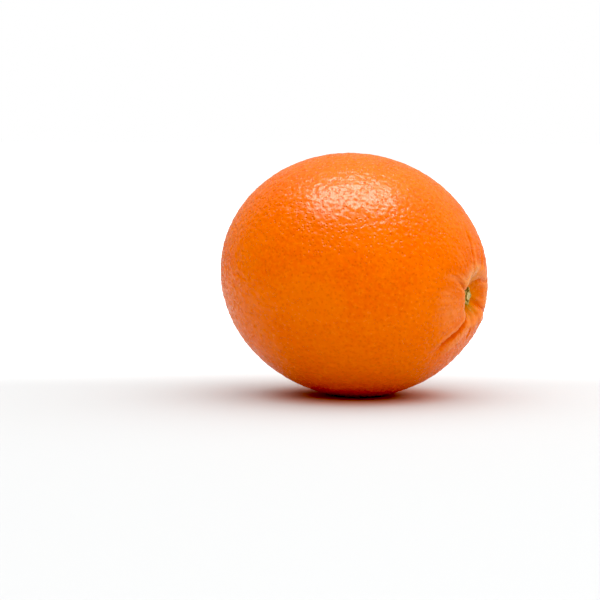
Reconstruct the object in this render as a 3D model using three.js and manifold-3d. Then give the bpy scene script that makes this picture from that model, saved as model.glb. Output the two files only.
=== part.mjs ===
// A ripe orange lying on its side, in millimetres: +Z is up and the stem end points along +X.
//
// The fruit grew as one piece, so it is one solid. Its outside is a slightly long ball with a hollow
// round the stem, furrows running out of that hollow, a shallow dimple at the blossom end, and the
// small flat that its own weight presses underneath. The dried calyx, which still holds the cut end
// of the stalk, is the only piece of its own. The origin is the centre of the flat.

import * as THREE from "three";
import { mergeVertices } from "three/addons/utils/BufferGeometryUtils.js";
import Module from "manifold-3d";

const { degToRad, radToDeg, smoothstep } = THREE.MathUtils;

const wasm = await Module();
wasm.setup();

// The body of the fruit
const HALF_LENGTH = 41.45; // along the stem axis
const HALF_WIDTH = 37.15; // across it
const DROOP = degToRad(7.7); // the stem end points this far below level
const FLAT_DEPTH = 0.5; // how far the peel is pressed flat underneath
const SWELL_TWO = 0.2; // how far the body is from round: two swellings
const SWELL_THREE = 0.15; // and three

// The hollow at the stem end, which is steeper on the side of its biggest cheek
const HOLLOW_DEPTH = 4.2;
const HOLLOW_FLOOR = 2.4; // radius of its level floor
const HOLLOW_RADIUS = 9; // where it meets the body, on average
const HOLLOW_LEAN = 1.6; // the rim is this much nearer on the cheek's side
const CHEEK_AZIMUTH = degToRad(100);

// The lobes, which stand a little proud of the round body near the rim of the hollow. Azimuths are
// degrees round the stem axis, from straight up and towards -Y, and spread is how far a lobe
// reaches to each side, in degrees.
const LOBES = [
  { azimuth: 112, rise: 0.15, spread: 36 },
  { azimuth: 232, rise: 0.85, spread: 30 },
  { azimuth: 276, rise: 0.35, spread: 18 },
  { azimuth: 324, rise: 0.5, spread: 22 },
  { azimuth: 42, rise: 0.35, spread: 17 },
];
const LOBE_CREST = 11; // distance from the stem axis at which a lobe is highest
const LOBE_END = 27;

// The furrows between the lobes. A furrow starts at one azimuth near the stem and bends to another,
// is gone at length from the stem axis, and is a little over twice width wide.
const FURROWS = [
  { near: 12, far: 0, depth: 0.9, length: 24, width: 0.6 },
  { near: 72, far: 62, depth: 0.9, length: 15, width: 0.7 },
  { near: 161, far: 148, depth: 1.5, length: 23.5, width: 1 },
  { near: 199, far: 190, depth: 0.7, length: 15, width: 0.7 },
  { near: 222, far: 216, depth: 0.35, length: 17, width: 0.6 },
  { near: 247, far: 244, depth: 0.9, length: 16.5, width: 0.8 },
  { near: 320, far: 292, depth: 0.7, length: 16, width: 0.7 },
  { near: 343, far: 336, depth: 0.5, length: 18, width: 0.6 },
];
const FURROW_FULL = 5; // distance from the stem axis at which a furrow has its whole depth
const FURROW_LIP = 0.14; // the edges of a furrow stand proud by this share of its depth

// The dimple at the blossom end
const DIMPLE_DEPTH = 0.6;
const DIMPLE_RADIUS = 5;

// The calyx, a small five-lobed disc round the stub of the stalk
const CALYX_RADIUS = 2.6;
const CALYX_THICKNESS = 0.7;
const CALYX_LOBES = 5;
const LOBE_SHARE = 0.11; // how far the lobes reach past the mean radius, as a share of it
const CALYX_TILT = degToRad(5); // the disc sits a little askew, its lower edge standing out
const STUB_RADIUS = 1.3;
const STUB_RISE = 0.15; // above the disc
const SEAT_GAP = 0.55; // under the middle of the disc, so that its upper edge is 0.3 clear

// How finely the body is faceted
const ROUND_STEPS = 100;
const LENGTH_STEPS = 48;
const POLE_CROWDING = 0.3; // rings draw together towards both ends, where the detail is

const HEIGHT =
  Math.hypot(HALF_LENGTH * Math.sin(DROOP), HALF_WIDTH * Math.cos(DROOP)) - FLAT_DEPTH;
const SHIFT =
  ((HALF_LENGTH ** 2 - HALF_WIDTH ** 2) * Math.sin(DROOP) * Math.cos(DROOP)) / (HEIGHT + FLAT_DEPTH);

// How far the hollow lies below the round body, at this distance from the stem axis.
function hollowDepth(reach, azimuth) {
  const rim = HOLLOW_RADIUS - HOLLOW_LEAN * Math.cos(azimuth - CHEEK_AZIMUTH);
  return HOLLOW_DEPTH * (1 - smoothstep(reach, HOLLOW_FLOOR, rim));
}

// How far the lobes here stand proud of the round body.
function lobeRise(reach, azimuth) {
  let rise = 0;
  for (const lobe of LOBES) {
    const turn = radToDeg(Math.acos(Math.cos(azimuth - degToRad(lobe.azimuth))));
    rise += lobe.rise * Math.exp(-((turn / lobe.spread) ** 2));
  }
  const foot = smoothstep(reach, HOLLOW_FLOOR, LOBE_CREST);
  return rise * foot * (1 - smoothstep(reach, LOBE_CREST, LOBE_END));
}

// How far the furrows here lie below their lobes, less where their edges stand proud.
function furrowDepth(reach, azimuth) {
  let depth = 0;
  for (const furrow of FURROWS) {
    const bend = 1 - smoothstep(reach, FURROW_FULL, 0.7 * furrow.length);
    const turn = azimuth - degToRad(furrow.far + (furrow.near - furrow.far) * bend);
    if (Math.cos(turn) < 0) continue;
    const across = Math.abs(reach * Math.sin(turn)) / furrow.width;
    const groove = Math.exp(-(across ** 1.3)) - FURROW_LIP * Math.exp(-((across - 2) ** 2));
    depth += furrow.depth * groove * (1 - smoothstep(reach, 0.55 * furrow.length, furrow.length));
  }
  return depth * smoothstep(reach, HOLLOW_FLOOR, FURROW_FULL);
}

// How far the skin lies below the plain oval at a polar angle from the stem end and an azimuth.
function skinDepth(polar, azimuth) {
  const reach = HALF_WIDTH * Math.sin(polar);
  const swell = SWELL_TWO * Math.sin(2 * azimuth) - SWELL_THREE * Math.sin(3 * azimuth);
  const sunk =
    Math.cos(polar) > 0
      ? hollowDepth(reach, azimuth) + furrowDepth(reach, azimuth) - lobeRise(reach, azimuth)
      : DIMPLE_DEPTH * (1 - smoothstep(reach, 0, DIMPLE_RADIUS));
  return sunk - swell * Math.sin(polar) ** 2;
}

// Turns a piece made along +X to the way the fruit lies, and puts it over the flat.
function lay(geometry) {
  return geometry.rotateY(DROOP).translate(-SHIFT, 0, HEIGHT);
}

function toSolid(geometry) {
  const bare = geometry.clone();
  bare.deleteAttribute("normal");
  bare.deleteAttribute("uv");
  const merged = mergeVertices(bare, 1e-4);
  return new wasm.Manifold(
    new wasm.Mesh({
      numProp: 3,
      vertProperties: merged.attributes.position.array,
      triVerts: new Uint32Array(merged.index.array),
    }),
  );
}

function toGeometry(solid) {
  const mesh = solid.getMesh();
  const geometry = new THREE.BufferGeometry();
  geometry.setAttribute("position", new THREE.BufferAttribute(mesh.vertProperties, 3));
  geometry.setIndex(new THREE.BufferAttribute(mesh.triVerts, 1));
  geometry.computeVertexNormals();
  return geometry;
}

// The fruit, peel and flesh as one body: a sphere whose points are moved onto the skin, then cut
// level underneath.
function makeFruit() {
  const body = new THREE.SphereGeometry(1, ROUND_STEPS, LENGTH_STEPS).rotateZ(-Math.PI / 2);
  const points = body.attributes.position;
  for (let i = 0; i < points.count; i++) {
    const even = Math.acos(THREE.MathUtils.clamp(points.getX(i), -1, 1));
    const polar = even - POLE_CROWDING * Math.sin(2 * even);
    const azimuth = Math.atan2(-points.getY(i), points.getZ(i));
    const along = Math.cos(polar);
    const out = Math.sin(polar);
    const slope = Math.hypot(along / HALF_LENGTH, out / HALF_WIDTH);
    const depth = skinDepth(polar, azimuth) / slope;
    const radius = out * (HALF_WIDTH - depth / HALF_WIDTH);
    points.setXYZ(
      i,
      along * (HALF_LENGTH - depth / HALF_LENGTH),
      -radius * Math.sin(azimuth),
      radius * Math.cos(azimuth),
    );
  }
  const below = 2 * HALF_LENGTH;
  const floor = new THREE.BoxGeometry(2 * below, 2 * below, below).translate(0, 0, -below / 2);
  const geometry = toGeometry(toSolid(lay(body)).subtract(toSolid(floor)));
  const peel = new THREE.MeshStandardMaterial({ color: 0xf0700c, roughness: 0.4, metalness: 0 });
  const fruit = new THREE.Mesh(geometry, peel);
  fruit.name = "fruit";
  return fruit;
}

// The calyx with the stub of the stalk in its middle: one turned shape with a lobed edge, dry and
// olive green, which sits on the floor of the hollow.
function makeStemButton() {
  const top = CALYX_THICKNESS;
  const profile = [
    new THREE.Vector2(0, 0),
    new THREE.Vector2(CALYX_RADIUS * 0.85, 0),
    new THREE.Vector2(CALYX_RADIUS, top * 0.3),
    new THREE.Vector2(CALYX_RADIUS * 0.93, top * 0.8),
    new THREE.Vector2(CALYX_RADIUS * 0.72, top),
    new THREE.Vector2(STUB_RADIUS * 1.12, top * 0.75),
    new THREE.Vector2(STUB_RADIUS, top + STUB_RISE * 0.8),
    new THREE.Vector2(STUB_RADIUS * 0.8, top + STUB_RISE),
    new THREE.Vector2(0, top + STUB_RISE * 0.5),
  ];
  const button = new THREE.LatheGeometry(profile, 60);
  const points = button.attributes.position;
  for (let i = 0; i < points.count; i++) {
    const turn = Math.atan2(points.getX(i), points.getZ(i));
    const share = Math.hypot(points.getX(i), points.getZ(i)) / CALYX_RADIUS;
    const grow = 1 + LOBE_SHARE * share ** 2 * Math.cos(CALYX_LOBES * turn);
    points.setXYZ(i, points.getX(i) * grow, points.getY(i), points.getZ(i) * grow);
  }
  const seat = HALF_LENGTH - HOLLOW_DEPTH + SEAT_GAP;
  button.rotateZ(-Math.PI / 2).rotateY(-CALYX_TILT).translate(seat, 0, 0);
  const calyx = new THREE.MeshStandardMaterial({ color: 0x8f8b45, roughness: 0.8, metalness: 0 });
  const stemButton = new THREE.Mesh(lay(button), calyx);
  stemButton.name = "stem_button";
  return stemButton;
}

const orange = new THREE.Group();
orange.add(makeFruit(), makeStemButton());

export default orange;
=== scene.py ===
import math

import bpy
import numpy as np
from mathutils import Matrix, Vector, noise
from mathutils.kdtree import KDTree


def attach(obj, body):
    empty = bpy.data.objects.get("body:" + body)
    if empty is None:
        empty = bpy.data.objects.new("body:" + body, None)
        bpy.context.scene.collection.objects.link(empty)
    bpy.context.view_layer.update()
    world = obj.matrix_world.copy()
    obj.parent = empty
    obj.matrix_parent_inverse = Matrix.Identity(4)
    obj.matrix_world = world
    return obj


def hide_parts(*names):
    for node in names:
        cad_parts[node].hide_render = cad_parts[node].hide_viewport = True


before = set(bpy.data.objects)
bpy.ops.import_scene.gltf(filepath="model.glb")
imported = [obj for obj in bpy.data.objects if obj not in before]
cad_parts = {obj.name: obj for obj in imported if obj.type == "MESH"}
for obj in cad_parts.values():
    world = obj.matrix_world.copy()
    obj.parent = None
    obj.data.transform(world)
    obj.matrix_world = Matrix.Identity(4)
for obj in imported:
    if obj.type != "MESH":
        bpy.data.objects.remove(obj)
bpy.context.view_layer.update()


# ---------------------------------------------------------------------------------------------
# Peel
# The outside of a ripe sweet orange, which grew as one piece and lies on its side with the stem
# end towards +X. It is thin, waxy and set all over with oil glands, each under a small pit. Lobes
# and furrows run out of the hollow round the stem, and its weight presses a small flat underneath.
# ---------------------------------------------------------------------------------------------

half_length = 0.04145  # along the stem axis
half_width = 0.03715  # across it
droop = math.radians(7.7)  # the stem end points this far below level
flat_depth = 0.0005
flat_edge = 0.0004  # the relief grows from none to full over this height above the flat
swell_two = 0.0002  # how far the body is out of round, in two swells and in three
swell_three = 0.00015
hollow_depth = 0.0042
hollow_floor = 0.0024
hollow_radius = 0.009
hollow_lean = 0.0016  # the rim is this much nearer on the side of the biggest cheek
lean_azimuth = math.radians(100)
dimple_depth = 0.0006
dimple_radius = 0.005
stem_crowding = 0.2  # draws the mesh together towards the stem end, where the detail is

# azimuth in degrees round the stem axis, from straight up towards -Y, then rise and half width
lobes = [
    (112, 0.00015, 36),
    (232, 0.00085, 30),
    (276, 0.00035, 18),
    (324, 0.00050, 22),
    (42, 0.00035, 17),
]
lobe_crest = 0.011
lobe_end = 0.027

# azimuth near the stem, azimuth at the far end, depth, length from the stem axis, half width, and
# how many times wider the slope on the side of growing azimuth is
furrows = [
    (12, 0, 0.00090, 0.0240, 0.0006, 1),
    (72, 62, 0.00090, 0.0150, 0.0007, 1),
    (161, 148, 0.00150, 0.0235, 0.0010, 1.7),
    (199, 190, 0.00070, 0.0150, 0.0007, 1),
    (222, 216, 0.00035, 0.0170, 0.0006, 1),
    (247, 244, 0.00090, 0.0165, 0.0008, 1),
    (320, 292, 0.00070, 0.0160, 0.0007, 1),
    (343, 336, 0.00050, 0.0180, 0.0006, 1),
]
furrow_start = 0.005  # from this far out it is fully deep
furrow_turned = 0.7  # by this share of its length it has turned to its far azimuth
furrow_fading = 0.55  # and from this share on it grows shallower
furrow_power = 1.3  # 1 would make its bottom sharp, and 2 round
lip_place = 2  # its lips stand this many half widths from its middle
lip_rise = 0.14  # and proud by this share of its depth

# the lowest point of the leaning ball comes over the origin, and its flat takes flat_depth off it
full_height = math.hypot(half_length * math.sin(droop), half_width * math.cos(droop))
fruit_centre = Vector((
    -(half_length**2 - half_width**2) * math.sin(droop) * math.cos(droop) / full_height,
    0,
    full_height - flat_depth,
))


def ease(value, start, end):
    """Goes softly from 0 at start to 1 at end."""
    share = np.clip((value - start) / (end - start), 0, 1)
    return share * share * (3 - 2 * share)


def band(value, middle, width):
    """1 on a line, falling softly to 0 on both sides of it."""
    return np.exp(-((value - middle) / width) ** 2)


def turn_from(turns, degrees):
    """How far round each point is from this azimuth, in degrees."""
    return np.degrees(np.arccos(np.cos(turns - math.radians(degrees))))


def sector(turns, degrees, spread, power=2):
    """1 round this azimuth, falling to 0 past the spread, the more suddenly the higher the power."""
    return np.exp(-(turn_from(turns, degrees) / spread) ** power)


def lay_down(points):
    """Turns points made along +X to the way the fruit lies, and puts them over its flat."""
    laid = points.copy()
    laid[:, 0] = points[:, 0] * math.cos(droop) + points[:, 2] * math.sin(droop)
    laid[:, 2] = points[:, 2] * math.cos(droop) - points[:, 0] * math.sin(droop)
    return laid + np.array(fruit_centre)


def read_points(piece, what="co"):
    """The piece's points, or another three numbers that each of them has."""
    flat = np.empty(len(piece.data.vertices) * 3)
    piece.data.vertices.foreach_get(what, flat)
    return flat.reshape(-1, 3)


def write_points(piece, points):
    piece.data.vertices.foreach_set("co", points.ravel())
    piece.data.update()


def paint(piece, name, values):
    """Keeps one number for each point, which the finish reads back by name."""
    layer = piece.data.attributes.new(name, "FLOAT", "POINT")
    layer.data.foreach_set("value", values)


def finish_with(piece, kind, **settings):
    """Adds a modifier to the piece and applies it."""
    bpy.ops.object.modifier_add(type=kind)
    modifier = piece.modifiers[-1]
    for name, value in settings.items():
        setattr(modifier, name, value)
    bpy.ops.object.modifier_apply(modifier=modifier.name)


bpy.ops.object.select_all(action="DESELECT")
bpy.ops.mesh.primitive_cube_add(size=2)
peel = bpy.context.object
peel.name = "peel"
finish_with(peel, "SUBSURF", levels=7, render_levels=7)
finish_with(peel, "CAST", cast_type="SPHERE", factor=1)

ball = read_points(peel)
ball /= np.linalg.norm(ball, axis=1, keepdims=True)
even = np.arccos(np.clip(ball[:, 0], -1, 1))  # the angle from the stem, before the crowding
polar = even - stem_crowding * (np.sin(even) + np.sin(2 * even) / 2)
azimuth = np.arctan2(-ball[:, 1], ball[:, 2])
along = np.cos(polar)
out = np.sin(polar)
reach = half_width * out  # distance from the stem axis
stem_side = along > 0

rim = hollow_radius - hollow_lean * np.cos(azimuth - lean_azimuth)
in_hollow = stem_side * (1 - ease(reach, hollow_floor, rim))
lobe = np.zeros(len(ball))
for degrees, rise, spread in lobes:
    lobe += rise * sector(azimuth, degrees, spread)
lobe *= stem_side * ease(reach, hollow_floor, lobe_crest) * (1 - ease(reach, lobe_crest, lobe_end))
furrow = np.zeros(len(ball))
lip_sheen = np.zeros(len(ball))
for near, far, deep, length, width, slope in furrows:
    middle = np.radians(far + (near - far) * (1 - ease(reach, furrow_start, furrow_turned * length)))
    turn = azimuth - middle
    across = np.abs(reach * np.sin(turn)) / (width * np.where(np.sin(turn) > 0, slope, 1))
    edge = band(across, lip_place, 1)
    groove = np.exp(-across**furrow_power) - lip_rise * edge
    left = (np.cos(turn) > 0) * deep * (1 - ease(reach, furrow_fading * length, length))
    furrow += left * groove
    lip_sheen += left * edge
furrow *= stem_side * ease(reach, hollow_floor, furrow_start)
dimple = ~stem_side * (1 - ease(reach, 0, dimple_radius))
swell = swell_two * np.sin(2 * azimuth) - swell_three * np.sin(3 * azimuth)

sunk = hollow_depth * in_hollow + furrow - lobe + dimple_depth * dimple - swell * out**2
sunk /= np.hypot(along / half_length, out / half_width)
radius = out * (half_width - sunk / half_width)
skin = np.stack([
    along * (half_length - sunk / half_length),
    -radius * np.sin(azimuth),
    radius * np.cos(azimuth),
], axis=1)
skin = lay_down(skin)
skin[:, 2] = np.maximum(skin[:, 2], 0)
write_points(peel, skin)

# The glands: scattered points, closer together towards the stem, no two too near each other. Each
# pit is a narrow one inside a wide one. Here and below, two distances in brackets are where a change
# starts and ends, measured from the stem axis.
gland_spacing = 0.00115
gland_crowding = 0.28
crowding_end = (0.004, 0.016)
least_spacing, most_spacing = 0.85, 1.15
gland_depth = 0.00028
gland_radius = 0.00055
least_gland, most_gland = 0.5, 1.1
narrow_share = 0.6
hollow_pits = 0.45  # in the hollow the pits are this share as deep
pits_deepen = (0.005, 0.014)
chance = np.random.default_rng(7)
spacing = gland_spacing * (1 - gland_crowding * (1 - ease(reach, *crowding_end)))
spacing *= chance.uniform(least_spacing, most_spacing, len(skin))
skin_tree = KDTree(len(skin))
for index, point in enumerate(skin):
    skin_tree.insert(point, index)
skin_tree.balance()
free = np.ones(len(skin), bool)
glands = []
for index in chance.permutation(len(skin)):
    if free[index]:
        glands.append(index)
        near_points = skin_tree.find_range(skin[index], spacing[index])
        free[[found[1] for found in near_points]] = False
gland_tree = KDTree(len(glands))
for number, index in enumerate(glands):
    gland_tree.insert(skin[index], number)
gland_tree.balance()
nearest = [gland_tree.find(point) for point in skin]
gland_distance = np.array([found[2] for found in nearest])
gland_sizes = chance.uniform(least_gland, most_gland, len(glands))
gland_size = gland_sizes[[found[1] for found in nearest]]
pit = 1 - narrow_share * ease(gland_distance, 0, gland_radius)
pit -= (1 - narrow_share) * ease(gland_distance, 0, 2 * gland_radius)
pit *= gland_size * (hollow_pits + (1 - hollow_pits) * ease(reach, *pits_deepen))

# Uneven pebbles between the pits, fine wrinkles that run out from the stem, and a small corky scar
# at the blossom end, with a ragged edge and a pit in its middle.
pebble_height = 0.00014
pebble_scale = 900  # to the metre
broad_scale = 520
broad_share = 0.8
streak_fineness = 13
streak_waver = 90  # how soon the streaks change on their way out
wrinkle_height = 0.00018
wrinkle_start = (0.0075, 0.0105)
wrinkle_end = (0.012, 0.020)
relief_sink = 0.00013  # keeps the pebbles inside the fruit's size
scar_ragged = 0.3
scar_edge = (0.0010, 0.0018)
scar_middle_edge = (0.0002, 0.0010)
scar_rise = 0.00015
scar_pit = 0.00035
pebble = np.array([
    noise.noise(Vector(point) * pebble_scale) + broad_share * noise.noise(Vector(point) * broad_scale)
    for point in skin
])
streak = np.array([
    noise.noise(Vector((
        streak_fineness * math.cos(turn), streak_fineness * math.sin(turn), streak_waver * distance)))
    for turn, distance in zip(azimuth, reach)
])
wrinkled = stem_side * ease(reach, *wrinkle_start) * (1 - ease(reach, *wrinkle_end))
wrinkle = streak * wrinkled
relief = gland_depth * pit + pebble_height * pebble + wrinkle_height * wrinkle + relief_sink
scar_reach = reach * (1 + scar_ragged * streak)
scar = ~stem_side * (1 - ease(scar_reach, *scar_edge))
scar_middle = ~stem_side * (1 - ease(scar_reach, *scar_middle_edge))
relief += scar_pit * scar_middle - scar_rise * scar
relief *= ease(skin[:, 2], 0, flat_edge)  # the pressed flat is smooth
skin -= relief[:, None] * read_points(peel, "normal")
skin[:, 2] = np.maximum(skin[:, 2], 0)
write_points(peel, skin)

# Where the peel changes colour. The lips of the furrows, the rim of the hollow and the big cheek are
# painted pale, a painted sheen where they catch the light, and the furrows carry a painted shade.
# Above the calyx the wall of the hollow is cream, with a painted shadow in the gap at its foot. Olive
# stains spread from the calyx, furthest below it, and the shoulder round the hollow is darker.
full_crease_shade = 0.001  # a furrow this deep has its full painted shade
full_lip = 0.0013
lip_start = (0.004, 0.007)
rim_inset = 0.0008
rim_width = 0.0017
big_cheek = (112, 38)  # azimuth and spread in degrees
cheek_share = 0.52
cheek_start = (0.006, 0.009)
cheek_end = (0.013, 0.022)
cream_wall = (15, 50)
cream_end = (0.0055, 0.0120)
stain_start = 0.0022
stain_mean_end = 0.0062
stain_drop = 0.0030
gap_place = (28, 38)
gap_reach = 0.0031
gap_width = 0.0005
shoulder_break = (145, 45)  # below the big cheek the shoulder is not darker
shoulder_end = (0.010, 0.024)

# the pale lips, rim and cheek: a painted sheen where they catch the light
furrow_lip_sheen = ease(reach, *lip_start) * lip_sheen / full_lip
rim_sheen = band(reach, rim - rim_inset, rim_width)
cheek_sheen = cheek_share * sector(azimuth, *big_cheek)
cheek_sheen *= ease(reach, *cheek_start) * (1 - ease(reach, *cheek_end))
pale_sheen = np.clip(np.maximum(furrow_lip_sheen, np.maximum(rim_sheen, cheek_sheen)), 0, 1)
cream = sector(azimuth, *cream_wall, power=4) * (1 - ease(reach, *cream_end))
stain = 1 - ease(reach, stain_start, stain_mean_end - stain_drop * np.cos(azimuth))
# a painted shadow in the gap at the calyx's foot
gap_shadow = band(reach, gap_reach, gap_width) * sector(azimuth, *gap_place, power=4)
shoulder = (1 - ease(reach, *shoulder_end)) * (1 - sector(azimuth, *shoulder_break))
paint(peel, "hollow", in_hollow)
# the furrow mark carries a painted shade in the creases
paint(peel, "furrow", np.clip(furrow / full_crease_shade, 0, 1))
paint(peel, "lip_sheen", stem_side * pale_sheen)
paint(peel, "streak", 0.5 + 0.5 * streak)
paint(peel, "wrinkle", np.clip(2 * wrinkle, 0, 1))
paint(peel, "cream", stem_side * cream)
paint(peel, "stain", stem_side * stain)
paint(peel, "gap_shadow", stem_side * gap_shadow)
paint(peel, "shoulder", stem_side * shoulder)
paint(peel, "scar", scar)
paint(peel, "scar_middle", scar_middle)
bpy.ops.object.shade_smooth()


def new_finish(name):
    finish = bpy.data.materials.new(name)
    finish.use_nodes = True
    return finish


def pattern(finish, kind, scale, **settings):
    """A pattern fixed to the piece, in cells or waves to the metre."""
    nodes = finish.node_tree.nodes
    node = nodes.new(kind)
    node.inputs["Scale"].default_value = scale
    for name, value in settings.items():
        node.inputs[name].default_value = value
    place = nodes.new("ShaderNodeTexCoord")
    finish.node_tree.links.new(place.outputs["Object"], node.inputs["Vector"])
    return node


def painted(finish, name):
    """The numbers that paint() kept under this name."""
    node = finish.node_tree.nodes.new("ShaderNodeAttribute")
    node.attribute_name = name
    return node.outputs["Fac"]


def ramp(finish, value, low, high, to_low=0, to_high=1):
    """A soft change from to_low to to_high as the value goes from low to high."""
    node = finish.node_tree.nodes.new("ShaderNodeMapRange")
    node.interpolation_type = "SMOOTHSTEP"
    sockets = ("From Min", "From Max", "To Min", "To Max")
    for name, number in zip(sockets, (low, high, to_low, to_high)):
        node.inputs[name].default_value = number
    finish.node_tree.links.new(value, node.inputs["Value"])
    return node.outputs["Result"]


def set_or_link(finish, socket, value):
    """Gives a socket a colour, a number or another node's result."""
    if isinstance(value, bpy.types.NodeSocket):
        finish.node_tree.links.new(value, socket)
    elif isinstance(value, tuple):
        socket.default_value = (*value, 1)
    else:
        socket.default_value = value


def combine(finish, operation, first, second):
    node = finish.node_tree.nodes.new("ShaderNodeMath")
    node.operation = operation
    set_or_link(finish, node.inputs[0], first)
    set_or_link(finish, node.inputs[1], second)
    return node.outputs["Value"]


def tint(finish, share, under, over):
    """One colour turning into another, by share."""
    node = finish.node_tree.nodes.new("ShaderNodeMix")
    node.data_type = "RGBA"
    set_or_link(finish, node.inputs["Factor"], share)
    set_or_link(finish, node.inputs["A"], under)
    set_or_link(finish, node.inputs["B"], over)
    return node.outputs["Result"]


def raise_relief(finish, height):
    """Turns a height in metres into the finish's fine relief."""
    tree = finish.node_tree
    bump = tree.nodes.new("ShaderNodeBump")
    bump.inputs["Distance"].default_value = 1
    tree.links.new(height, bump.inputs["Height"])
    tree.links.new(bump.outputs["Normal"], tree.nodes["Principled BSDF"].inputs["Normal"])


def build_grain():
    """The fine grain that every finish on the orange uses: how much, and its height in metres."""
    group = bpy.data.node_groups.new("fine_grain", "ShaderNodeTree")
    for name in ("Scale", "Depth"):
        group.interface.new_socket(name, in_out="INPUT", socket_type="NodeSocketFloat")
    for name in ("Amount", "Height"):
        group.interface.new_socket(name, in_out="OUTPUT", socket_type="NodeSocketFloat")
    given = group.nodes.new("NodeGroupInput")
    result = group.nodes.new("NodeGroupOutput")
    place = group.nodes.new("ShaderNodeTexCoord")
    waves = group.nodes.new("ShaderNodeTexNoise")
    waves.inputs["Detail"].default_value = 3
    rise = group.nodes.new("ShaderNodeMath")
    rise.operation = "MULTIPLY"
    group.links.new(place.outputs["Object"], waves.inputs["Vector"])
    group.links.new(given.outputs["Scale"], waves.inputs["Scale"])
    group.links.new(waves.outputs["Fac"], rise.inputs[0])
    group.links.new(given.outputs["Depth"], rise.inputs[1])
    group.links.new(waves.outputs["Fac"], result.inputs["Amount"])
    group.links.new(rise.outputs["Value"], result.inputs["Height"])
    return group


fine_grain = build_grain()


def add_grain(finish, scale, depth):
    """Puts the fine grain in a finish, in waves to the metre and metres deep."""
    node = finish.node_tree.nodes.new("ShaderNodeGroup")
    node.node_tree = fine_grain
    node.inputs["Scale"].default_value = scale
    node.inputs["Depth"].default_value = depth
    return node.outputs["Amount"], node.outputs["Height"]


waxy_peel = new_finish("waxy_orange_peel")
shader = waxy_peel.node_tree.nodes["Principled BSDF"]
shader.inputs["Subsurface Weight"].default_value = 0.25
shader.inputs["Subsurface Radius"].default_value = (1.0, 0.35, 0.08)
shader.inputs["Subsurface Scale"].default_value = 0.0015
shader.inputs["Specular IOR Level"].default_value = 0.22

deep_orange = (0.90, 0.147, 0.003)
bright_orange = (0.93, 0.177, 0.005)
light_orange = (0.96, 0.205, 0.006)
# darker pits: partly the glands' own colour, partly painted shade in the pits
pore_and_shade_orange = (0.66, 0.070, 0.0004)
# painted shade in the furrows
crease_shade_orange = (0.74, 0.095, 0.001)
shoulder_orange = (0.77, 0.135, 0.009)
amber = (0.80, 0.190, 0.004)
cream_green = (0.82, 0.39, 0.12)
olive = (0.40, 0.24, 0.015)
# painted shadow in the gap at the calyx's foot
gap_shadow_brown = (0.10, 0.035, 0.003)
scar_tan = (0.42, 0.20, 0.05)
scar_brown = (0.12, 0.05, 0.015)
# the colour of the painted sheen and highlights
sheen_orange = (0.94, 0.28, 0.060)
drift_scale = 50  # waves or cells to the metre
mottle_scale = 800
pore_scale = 920
grain_scale = 2200
pore_depth = 0.00011
grain_depth = 0.000016
mottle_share = 0.45  # how much of each colour shows where it is strongest
pore_and_shade_share = 0.30
shoulder_share = 0.75
wrinkle_highlight_share = 0.4
lip_sheen_share = 0.7
hollow_share = 0.8
wax_roughness = (0.20, 0.28)
pore_roughness = 0.45
scar_roughness = 0.7

pores = pattern(waxy_peel, "ShaderNodeTexVoronoi", pore_scale).outputs["Distance"]
grain_height = add_grain(waxy_peel, grain_scale, grain_depth)[1]
drift = pattern(waxy_peel, "ShaderNodeTexNoise", drift_scale, Detail=3).outputs["Fac"]
mottle = pattern(waxy_peel, "ShaderNodeTexNoise", mottle_scale, Detail=2).outputs["Fac"]
pore = ramp(waxy_peel, pores, 0.10, 0.43, 1, 0)
streaks = painted(waxy_peel, "streak")

# the sound peel
colour = tint(waxy_peel, ramp(waxy_peel, drift, 0.35, 0.65), deep_orange, bright_orange)
colour = tint(waxy_peel, ramp(waxy_peel, mottle, 0.40, 0.65, 0, mottle_share), colour, light_orange)
# the pits are darker: partly the glands' own colour, partly painted shade in the pits
colour = tint(waxy_peel, combine(waxy_peel, "MULTIPLY", pore, pore_and_shade_share), colour, pore_and_shade_orange)

# the stem end, from the shoulder in to the calyx
shoulder_darkening = combine(waxy_peel, "MULTIPLY", painted(waxy_peel, "shoulder"), shoulder_share)
colour = tint(waxy_peel, shoulder_darkening, colour, shoulder_orange)
# painted highlight along the wrinkles
wrinkle_highlight = ramp(waxy_peel, painted(waxy_peel, "wrinkle"), 0, 0.8, 0, wrinkle_highlight_share)
colour = tint(waxy_peel, wrinkle_highlight, colour, sheen_orange)
# painted sheen on the lips, the rim of the hollow and the big cheek
lip_highlight = ramp(waxy_peel, painted(waxy_peel, "lip_sheen"), 0.1, 0.9, 0, lip_sheen_share)
colour = tint(waxy_peel, lip_highlight, colour, sheen_orange)
# painted shade in the furrows
crease_shade = ramp(waxy_peel, painted(waxy_peel, "furrow"), 0.2, 1)
colour = tint(waxy_peel, crease_shade, colour, crease_shade_orange)
in_deep = ramp(waxy_peel, painted(waxy_peel, "hollow"), 0.1, 0.8, 0, hollow_share)
colour = tint(waxy_peel, in_deep, colour, amber)
streaked = ramp(waxy_peel, streaks, 0.3, 0.7, 0.65, 1)
pale_wall = combine(waxy_peel, "MULTIPLY", painted(waxy_peel, "cream"), streaked)
colour = tint(waxy_peel, pale_wall, colour, cream_green)
stained = ramp(waxy_peel, streaks, 0.3, 0.7, 0.15, 0.9)
stained = combine(waxy_peel, "MULTIPLY", painted(waxy_peel, "stain"), stained)
colour = tint(waxy_peel, stained, colour, olive)
# painted shadow in the gap at the calyx's foot
colour = tint(waxy_peel, painted(waxy_peel, "gap_shadow"), colour, gap_shadow_brown)

# the scar at the blossom end
colour = tint(waxy_peel, painted(waxy_peel, "scar"), colour, scar_tan)
colour = tint(waxy_peel, painted(waxy_peel, "scar_middle"), colour, scar_brown)
set_or_link(waxy_peel, shader.inputs["Base Color"], colour)

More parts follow.
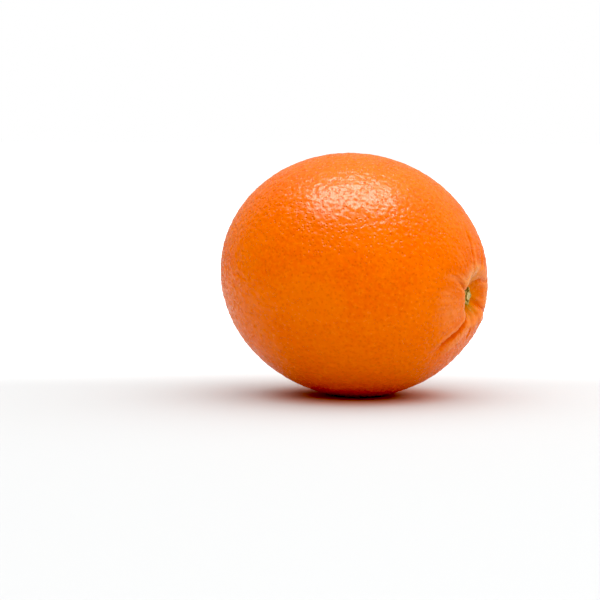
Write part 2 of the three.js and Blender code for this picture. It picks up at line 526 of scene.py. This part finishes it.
dry_scar = ramp(waxy_peel, painted(waxy_peel, "scar"), 0, 1, 0, scar_roughness)
wax = ramp(waxy_peel, mottle, 0.3, 0.7, *wax_roughness)
matt = combine(waxy_peel, "MAXIMUM", dry_scar, combine(waxy_peel, "MULTIPLY", pore, pore_roughness))
set_or_link(waxy_peel, shader.inputs["Roughness"], combine(waxy_peel, "MAXIMUM", wax, matt))
pore_height = combine(waxy_peel, "MULTIPLY", pore, -pore_depth)
raise_relief(waxy_peel, combine(waxy_peel, "ADD", pore_height, grain_height))

peel.data.materials.append(waxy_peel)
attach(peel, "root")
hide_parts("fruit")


# ---------------------------------------------------------------------------------------------
# Calyx
# The dried button that the orange hung by: a five-lobed disc, woody and olive green, with the cut
# stub of the stalk in its middle. It sits a little askew on the floor of the hollow, held there by
# the fibres that it grew on.
# ---------------------------------------------------------------------------------------------

calyx_radius = 0.0026
calyx_thickness = 0.0007
calyx_lobes = 5
lobe_depth = 0.11  # the edge goes out and in by this share of the radius
lobe_dip = 0.24  # the top dips between the lobes by this share of the thickness
calyx_tilt = math.radians(5)
seat_gap = 0.00055
ring_steps = 60
fibre_fineness = 5
fibre_waver = 2
fibre_rise = 0.14
fibre_spread = 0.03
crumble_scale = 4
crumble_rise = 0.06
top_face = (0.3, 0.8)  # in height
outer_lobes = (0.60, 0.80)  # in distance from the middle

# each ring of the turned shape, from the seat up and in to the middle: radius and height, as shares
# of the calyx's own
rings = [
    (0.85, 0.00), (0.97, 0.10), (1.00, 0.32), (0.98, 0.62), (0.92, 0.82), (0.84, 0.96), (0.74, 1.00),
    (0.66, 0.92), (0.60, 0.72), (0.56, 0.74), (0.54, 0.94), (0.52, 1.14), (0.48, 1.22), (0.40, 1.20),
    (0.30, 1.12), (0.18, 1.04), (0.07, 1.00),
]

bpy.ops.object.select_all(action="DESELECT")
bpy.ops.mesh.primitive_circle_add(vertices=ring_steps, radius=1, fill_type="NGON")
calyx = bpy.context.object
calyx.name = "calyx"
bpy.ops.object.mode_set(mode="EDIT")
bpy.ops.mesh.select_mode(type="FACE")
bpy.ops.mesh.select_all(action="SELECT")
bpy.ops.transform.resize(value=(rings[0][0], rings[0][0], 1))
for (last_radius, last_height), (next_radius, next_height) in zip(rings, rings[1:]):
    bpy.ops.mesh.extrude_region_move()
    bpy.ops.transform.resize(value=(next_radius / last_radius, next_radius / last_radius, 1))
    bpy.ops.transform.translate(value=(0, 0, next_height - last_height))
bpy.ops.mesh.select_all(action="SELECT")
bpy.ops.mesh.normals_make_consistent(inside=False)
bpy.ops.object.mode_set(mode="OBJECT")
finish_with(calyx, "SUBSURF", levels=1, render_levels=1)

disc = read_points(calyx)
share = np.hypot(disc[:, 0], disc[:, 1])
turn = np.arctan2(disc[:, 1], disc[:, 0])
lobing = np.cos(calyx_lobes * turn)
fibre = np.array([
    noise.noise(Vector((
        fibre_fineness * math.cos(angle), fibre_fineness * math.sin(angle), fibre_waver * distance)))
    for angle, distance in zip(turn, share)
])
crumble = np.array([noise.noise(Vector(point) * crumble_scale) for point in disc])
grow = 1 + lobe_depth * share**2 * lobing + fibre_spread * fibre * share
on_top = ease(disc[:, 2], *top_face)
lift = lobe_dip * on_top * ease(share, *outer_lobes) * (lobing - 1) / 2
lift += fibre_rise * on_top * fibre + crumble_rise * on_top * crumble
button = np.stack([
    calyx_thickness * (disc[:, 2] + lift),
    calyx_radius * disc[:, 0] * grow,
    calyx_radius * disc[:, 1] * grow,
], axis=1)
askew = button.copy()
askew[:, 0] = button[:, 0] * math.cos(calyx_tilt) - button[:, 2] * math.sin(calyx_tilt)
askew[:, 2] = button[:, 2] * math.cos(calyx_tilt) + button[:, 0] * math.sin(calyx_tilt)
askew[:, 0] += half_length - hollow_depth + seat_gap
write_points(calyx, lay_down(askew))

# one lobe is darker: a painted shadow of the gap above it
shaded_lobe = 112  # degrees round the disc
lobe_shadow_spread = 34
paint(calyx, "share", share)
paint(calyx, "fibre", 0.5 + 0.5 * fibre)
paint(calyx, "lobe_shadow", ease(share, *outer_lobes) * sector(turn, shaded_lobe, lobe_shadow_spread, power=4))
bpy.ops.object.mode_set(mode="EDIT")
bpy.ops.mesh.select_all(action="SELECT")
bpy.ops.mesh.normals_make_consistent(inside=False)
bpy.ops.object.mode_set(mode="OBJECT")
bpy.ops.object.shade_smooth()

dry_calyx = new_finish("dry_calyx")
shader = dry_calyx.node_tree.nodes["Principled BSDF"]
shader.inputs["Roughness"].default_value = 0.75
shader.inputs["Specular IOR Level"].default_value = 0.2
olive_green = (0.38, 0.26, 0.05)
pale_green = (0.66, 0.47, 0.14)
# the colour of the dark flecks and pith, and of the painted shade in the groove
fleck_and_shade_dark = (0.055, 0.04, 0.008)
cut_wood = (0.72, 0.58, 0.28)
# the colour of the painted shadow on one lobe
lobe_shadow_brown = (0.10, 0.04, 0.004)
stub_wall = (0.50, 0.56)  # in distance from the middle
lobe_foot = (0.60, 0.70)
cut_rim = (0.36, 0.50)
pith_edge = (0.03, 0.12)
fleck_scale = 1900  # to the metre
fleck_depth = 0.00005
fleck_share = 0.85
cut_fleck_share = 0.4  # the cut has fewer flecks
pith_share = 0.8
lobe_shadow_share = 0.85

share_out = painted(dry_calyx, "share")
fibres = painted(dry_calyx, "fibre")
flecks, fleck_height = add_grain(dry_calyx, fleck_scale, fleck_depth)
colour = tint(dry_calyx, ramp(dry_calyx, fibres, 0.3, 0.7), olive_green, pale_green)
past_stub = ramp(dry_calyx, share_out, *stub_wall)
before_lobes = ramp(dry_calyx, share_out, *lobe_foot, 1, 0)
# painted shade in the groove between the stub and the lobes
groove = combine(dry_calyx, "MULTIPLY", past_stub, before_lobes)
colour = tint(dry_calyx, groove, colour, fleck_and_shade_dark)
on_cut = ramp(dry_calyx, share_out, *cut_rim, 1, 0)
cut = combine(dry_calyx, "MULTIPLY", on_cut, ramp(dry_calyx, fibres, 0.25, 0.6, 0.5, 1))
colour = tint(dry_calyx, cut, colour, cut_wood)
fleck_strength = ramp(dry_calyx, on_cut, 0, 1, fleck_share, cut_fleck_share)
flecked = combine(dry_calyx, "MULTIPLY", ramp(dry_calyx, flecks, 0.5, 0.64), fleck_strength)
colour = tint(dry_calyx, flecked, colour, fleck_and_shade_dark)
pith = ramp(dry_calyx, share_out, *pith_edge, pith_share, 0)
colour = tint(dry_calyx, pith, colour, fleck_and_shade_dark)
# painted shadow of the gap on one lobe
lobe_shadow = ramp(dry_calyx, painted(dry_calyx, "lobe_shadow"), 0, 1, 0, lobe_shadow_share)
colour = tint(dry_calyx, lobe_shadow, colour, lobe_shadow_brown)
set_or_link(dry_calyx, shader.inputs["Base Color"], colour)
raise_relief(dry_calyx, fleck_height)

calyx.data.materials.append(dry_calyx)
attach(calyx, "root")
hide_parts("stem_button")


# ---------------------------------------------------------------------------------------------
# Floor
# One wide pale sheet that the orange rests on. It glows white far off, where the room's own white
# wall would meet it, and close under the fruit its colour is a painted shadow and painted reflection
# of the orange that the fruit throws back.
# ---------------------------------------------------------------------------------------------

view_azimuth = math.radians(27.6)  # the camera's place round the fruit, from -Y towards +X
toward_camera = Vector((math.sin(view_azimuth), -math.cos(view_azimuth), 0))
to_right = Vector((math.cos(view_azimuth), math.sin(view_azimuth), 0))
sheet_pale = (0.635, 0.64, 0.64)
# painted shadow and reflection close under the fruit
painted_bounce_shade = (0.61, 0.24, 0.11)
warm_fade = (0.008, 0.034)  # between these distances from the middle of the fruit's flat
glow_rise = (0.02, 0.16)  # between these distances behind it
glow_strength = 0.8

bpy.ops.object.select_all(action="DESELECT")
bpy.ops.mesh.primitive_plane_add(size=12)
floor = bpy.context.object
floor.name = "floor"
pale_sheet = new_finish("pale_sheet")
shader = pale_sheet.node_tree.nodes["Principled BSDF"]
shader.inputs["Roughness"].default_value = 0.9
shader.inputs["Specular IOR Level"].default_value = 0.1
shader.inputs["Emission Color"].default_value = (1, 1, 1, 1)
tree = pale_sheet.node_tree
place = tree.nodes.new("ShaderNodeTexCoord").outputs["Object"]
away = tree.nodes.new("ShaderNodeVectorMath")
away.operation = "DOT_PRODUCT"
away.inputs[1].default_value = -toward_camera
tree.links.new(place, away.inputs[0])
seen = tree.nodes.new("ShaderNodeLightPath").outputs["Is Camera Ray"]
glow = ramp(pale_sheet, away.outputs["Value"], *glow_rise, 0, glow_strength)
set_or_link(pale_sheet, shader.inputs["Emission Strength"], combine(pale_sheet, "MULTIPLY", glow, seen))
from_fruit = tree.nodes.new("ShaderNodeVectorMath")
from_fruit.operation = "LENGTH"
tree.links.new(place, from_fruit.inputs[0])
# a painted shadow and painted reflection of the fruit's orange close under it
painted_warm_shadow = ramp(pale_sheet, from_fruit.outputs["Value"], *warm_fade, 1, 0)
set_or_link(pale_sheet, shader.inputs["Base Color"], tint(pale_sheet, painted_warm_shadow, sheet_pale, painted_bounce_shade))
floor.data.materials.append(pale_sheet)


# ---------------------------------------------------------------------------------------------
# Light
# A pale room that is dimmer on the camera's side, and one soft box hung over the fruit, in two
# parts: what it lights and what shines back from the wax.
# ---------------------------------------------------------------------------------------------

bright_wall = 0.54
dim_wall = 0.33
dim_wall_left = 0.6  # how far the dim side is turned to the camera's left
wall_fade = 0.5

world = bpy.data.worlds.new("pale_room")
bpy.context.scene.world = world
world.use_nodes = True
air = world.node_tree.nodes
air_links = world.node_tree.links
direction = air.new("ShaderNodeTexCoord").outputs["Generated"]
facing = air.new("ShaderNodeVectorMath")
facing.operation = "DOT_PRODUCT"
air_links.new(direction, facing.inputs[0])
facing.inputs[1].default_value = (toward_camera - dim_wall_left * to_right).normalized()
wall = air.new("ShaderNodeMapRange")
wall.interpolation_type = "SMOOTHSTEP"
wall.inputs["From Min"].default_value = -wall_fade
wall.inputs["From Max"].default_value = wall_fade
wall.inputs["To Min"].default_value = bright_wall
wall.inputs["To Max"].default_value = dim_wall
air_links.new(facing.outputs["Value"], wall.inputs["Value"])
straight = air.new("ShaderNodeLightPath").outputs["Is Camera Ray"]
strength = air.new("ShaderNodeMix")
strength.data_type = "FLOAT"
air_links.new(straight, strength.inputs["Factor"])
air_links.new(wall.outputs["Result"], strength.inputs["A"])
strength.inputs["B"].default_value = 1  # the room itself is seen as plain white
air["Background"].inputs["Color"].default_value = (1, 1, 1, 1)
air_links.new(strength.outputs["Result"], air["Background"].inputs["Strength"])


def hang_soft_box(name, width, depth, energy, height, forward, sideways, shines):
    """An area light over the fruit, square to the camera and turned towards the fruit's middle."""
    lamp = bpy.data.objects.new(name, bpy.data.lights.new(name, "AREA"))
    bpy.context.collection.objects.link(lamp)
    lamp.data.shape = "RECTANGLE"
    lamp.data.size = width
    lamp.data.size_y = depth
    lamp.data.energy = energy
    above = fruit_centre + Vector((0, 0, height))
    lamp.location = above + forward * toward_camera + sideways * to_right
    away = (lamp.location - fruit_centre).normalized()
    across = (to_right - to_right.dot(away) * away).normalized()
    lamp.rotation_euler = Matrix((across, away.cross(across), away)).transposed().to_euler()
    lamp.visible_glossy = shines
    lamp.visible_diffuse = not shines


hang_soft_box(
    "soft_box", width=2.8, depth=2.8, energy=38.2, height=0.9, forward=0.10, sideways=0.16, shines=False)
hang_soft_box(
    "soft_box_shine", width=0.74, depth=0.42, energy=16, height=0.84, forward=0.08, sideways=-0.055,
    shines=True)


# ---------------------------------------------------------------------------------------------
# Camera
# A long lens, low and a little to the fruit's stem side. The black level makes the darks a little
# deeper than the light alone would.
# ---------------------------------------------------------------------------------------------

pitch = math.radians(4.42)
camera_distance = 0.7198
camera_left = 0.0161
camera_down = 0.0076
lens_length = 142
black_level = 0.024

back = Vector((
    math.sin(view_azimuth) * math.cos(pitch),
    -math.cos(view_azimuth) * math.cos(pitch),
    math.sin(pitch),
))
up = back.cross(to_right)
camera = bpy.data.objects.new("camera", bpy.data.cameras.new("camera"))
bpy.context.collection.objects.link(camera)
camera.data.lens = lens_length
camera.data.sensor_width = 36
camera.location = fruit_centre + camera_distance * back - camera_left * to_right - camera_down * up
camera.rotation_euler = (math.pi / 2 - pitch, 0, view_azimuth)
bpy.context.scene.camera = camera

look = bpy.context.scene.view_settings
look.view_transform = "Standard"
look.use_curve_mapping = True
look.curve_mapping.black_level = (black_level, black_level, black_level)
look.curve_mapping.update()
